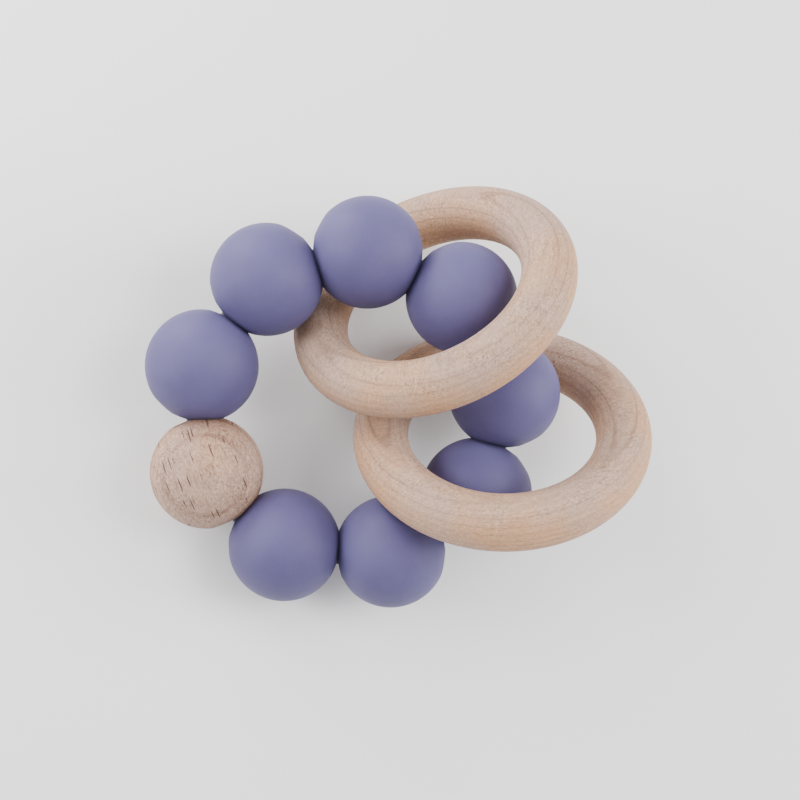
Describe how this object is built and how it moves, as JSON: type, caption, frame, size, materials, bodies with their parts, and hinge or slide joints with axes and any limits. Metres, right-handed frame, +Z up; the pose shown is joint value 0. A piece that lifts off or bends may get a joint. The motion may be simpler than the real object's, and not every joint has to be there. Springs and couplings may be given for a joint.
{
  "type": "teething ring",
  "caption": "Baby's teething ring: round silicone beads and a wooden bead on a closed cord, with plain wooden rings threaded over the loop.",
  "frame": {"origin": "middle of the bounding box's bottom face, on the table that the part lies on", "axes": "+Z up from the table, +X along the part's longest extent, from the wooden bead's side towards the rings, +Y across it"},
  "size_m": [0.0672, 0.0583, 0.0311],
  "materials": {
    "silicone": "matt lavender food-grade silicone",
    "bead_wood": "plain sanded beech",
    "ring_wood": "plain sanded maple",
    "cord": "thin dark braided nylon"
  },
  "bodies": {
    "loop": {"wood_bead": "bead_wood", "cord": "cord"},
    "silicone_bead_1": {"silicone_bead_1": "silicone"},
    "silicone_bead_2": {"silicone_bead_2": "silicone"},
    "silicone_bead_3": {"silicone_bead_3": "silicone"},
    "silicone_bead_4": {"silicone_bead_4": "silicone"},
    "silicone_bead_5": {"silicone_bead_5": "silicone"},
    "silicone_bead_6": {"silicone_bead_6": "silicone"},
    "silicone_bead_7": {"silicone_bead_7": "silicone"},
    "silicone_bead_8": {"silicone_bead_8": "silicone"},
    "upper_ring": {"upper_ring": "ring_wood"},
    "lower_ring": {"lower_ring": "ring_wood"}
  },
  "joints": [
    {"name": "silicone_bead_1_spin", "type": "hinge", "parent": "loop", "child": "silicone_bead_1", "pos_m": [-0.01766, 0.01424, 0.01426], "axis": [0.7941, 0.5697, 0.2115], "continuous": true},
    {"name": "silicone_bead_2_spin", "type": "hinge", "parent": "loop", "child": "silicone_bead_2", "pos_m": [-0.00443, 0.01764, 0.01654], "axis": [0.9895, -0.1073, 0.097], "continuous": true},
    {"name": "silicone_bead_3_spin", "type": "hinge", "parent": "loop", "child": "silicone_bead_3", "pos_m": [0.00818, 0.01156, 0.01681], "axis": [0.7032, -0.7085, -0.0599], "continuous": true},
    {"name": "silicone_bead_4_spin", "type": "hinge", "parent": "loop", "child": "silicone_bead_4", "pos_m": [0.01407, -0.00101, 0.01496], "axis": [0.0879, -0.9781, -0.1888], "continuous": true},
    {"name": "silicone_bead_5_spin", "type": "hinge", "parent": "loop", "child": "silicone_bead_5", "pos_m": [0.01049, -0.01418, 0.01185], "axis": [-0.5685, -0.79, -0.2293], "continuous": true},
    {"name": "silicone_bead_6_spin", "type": "hinge", "parent": "loop", "child": "silicone_bead_6", "pos_m": [-0.00088, -0.02165, 0.00896], "axis": [-0.9637, -0.2142, -0.1594], "continuous": true},
    {"name": "silicone_bead_7_spin", "type": "hinge", "parent": "loop", "child": "silicone_bead_7", "pos_m": [-0.01505, -0.02045, 0.0075], "axis": [-0.9293, 0.3674, -0.0368], "continuous": true},
    {"name": "silicone_bead_8_spin", "type": "hinge", "parent": "loop", "child": "silicone_bead_8", "pos_m": [-0.02606, 0.00315, 0.01099], "axis": [0.3384, 0.9133, 0.2268], "continuous": true},
    {"name": "upper_ring_tip", "type": "hinge", "parent": "loop", "child": "upper_ring", "pos_m": [0.00452, 0.01183, 0.01556], "axis": [0.8499, 0.487, 0.2013], "range_deg": [-44, 0]},
    {"name": "lower_ring_tip", "type": "hinge", "parent": "loop", "child": "lower_ring", "pos_m": [0.01376, -0.00631, 0.0141], "axis": [0.9877, 0.079, 0.1348], "range_deg": [-36, 0]}
  ]
}
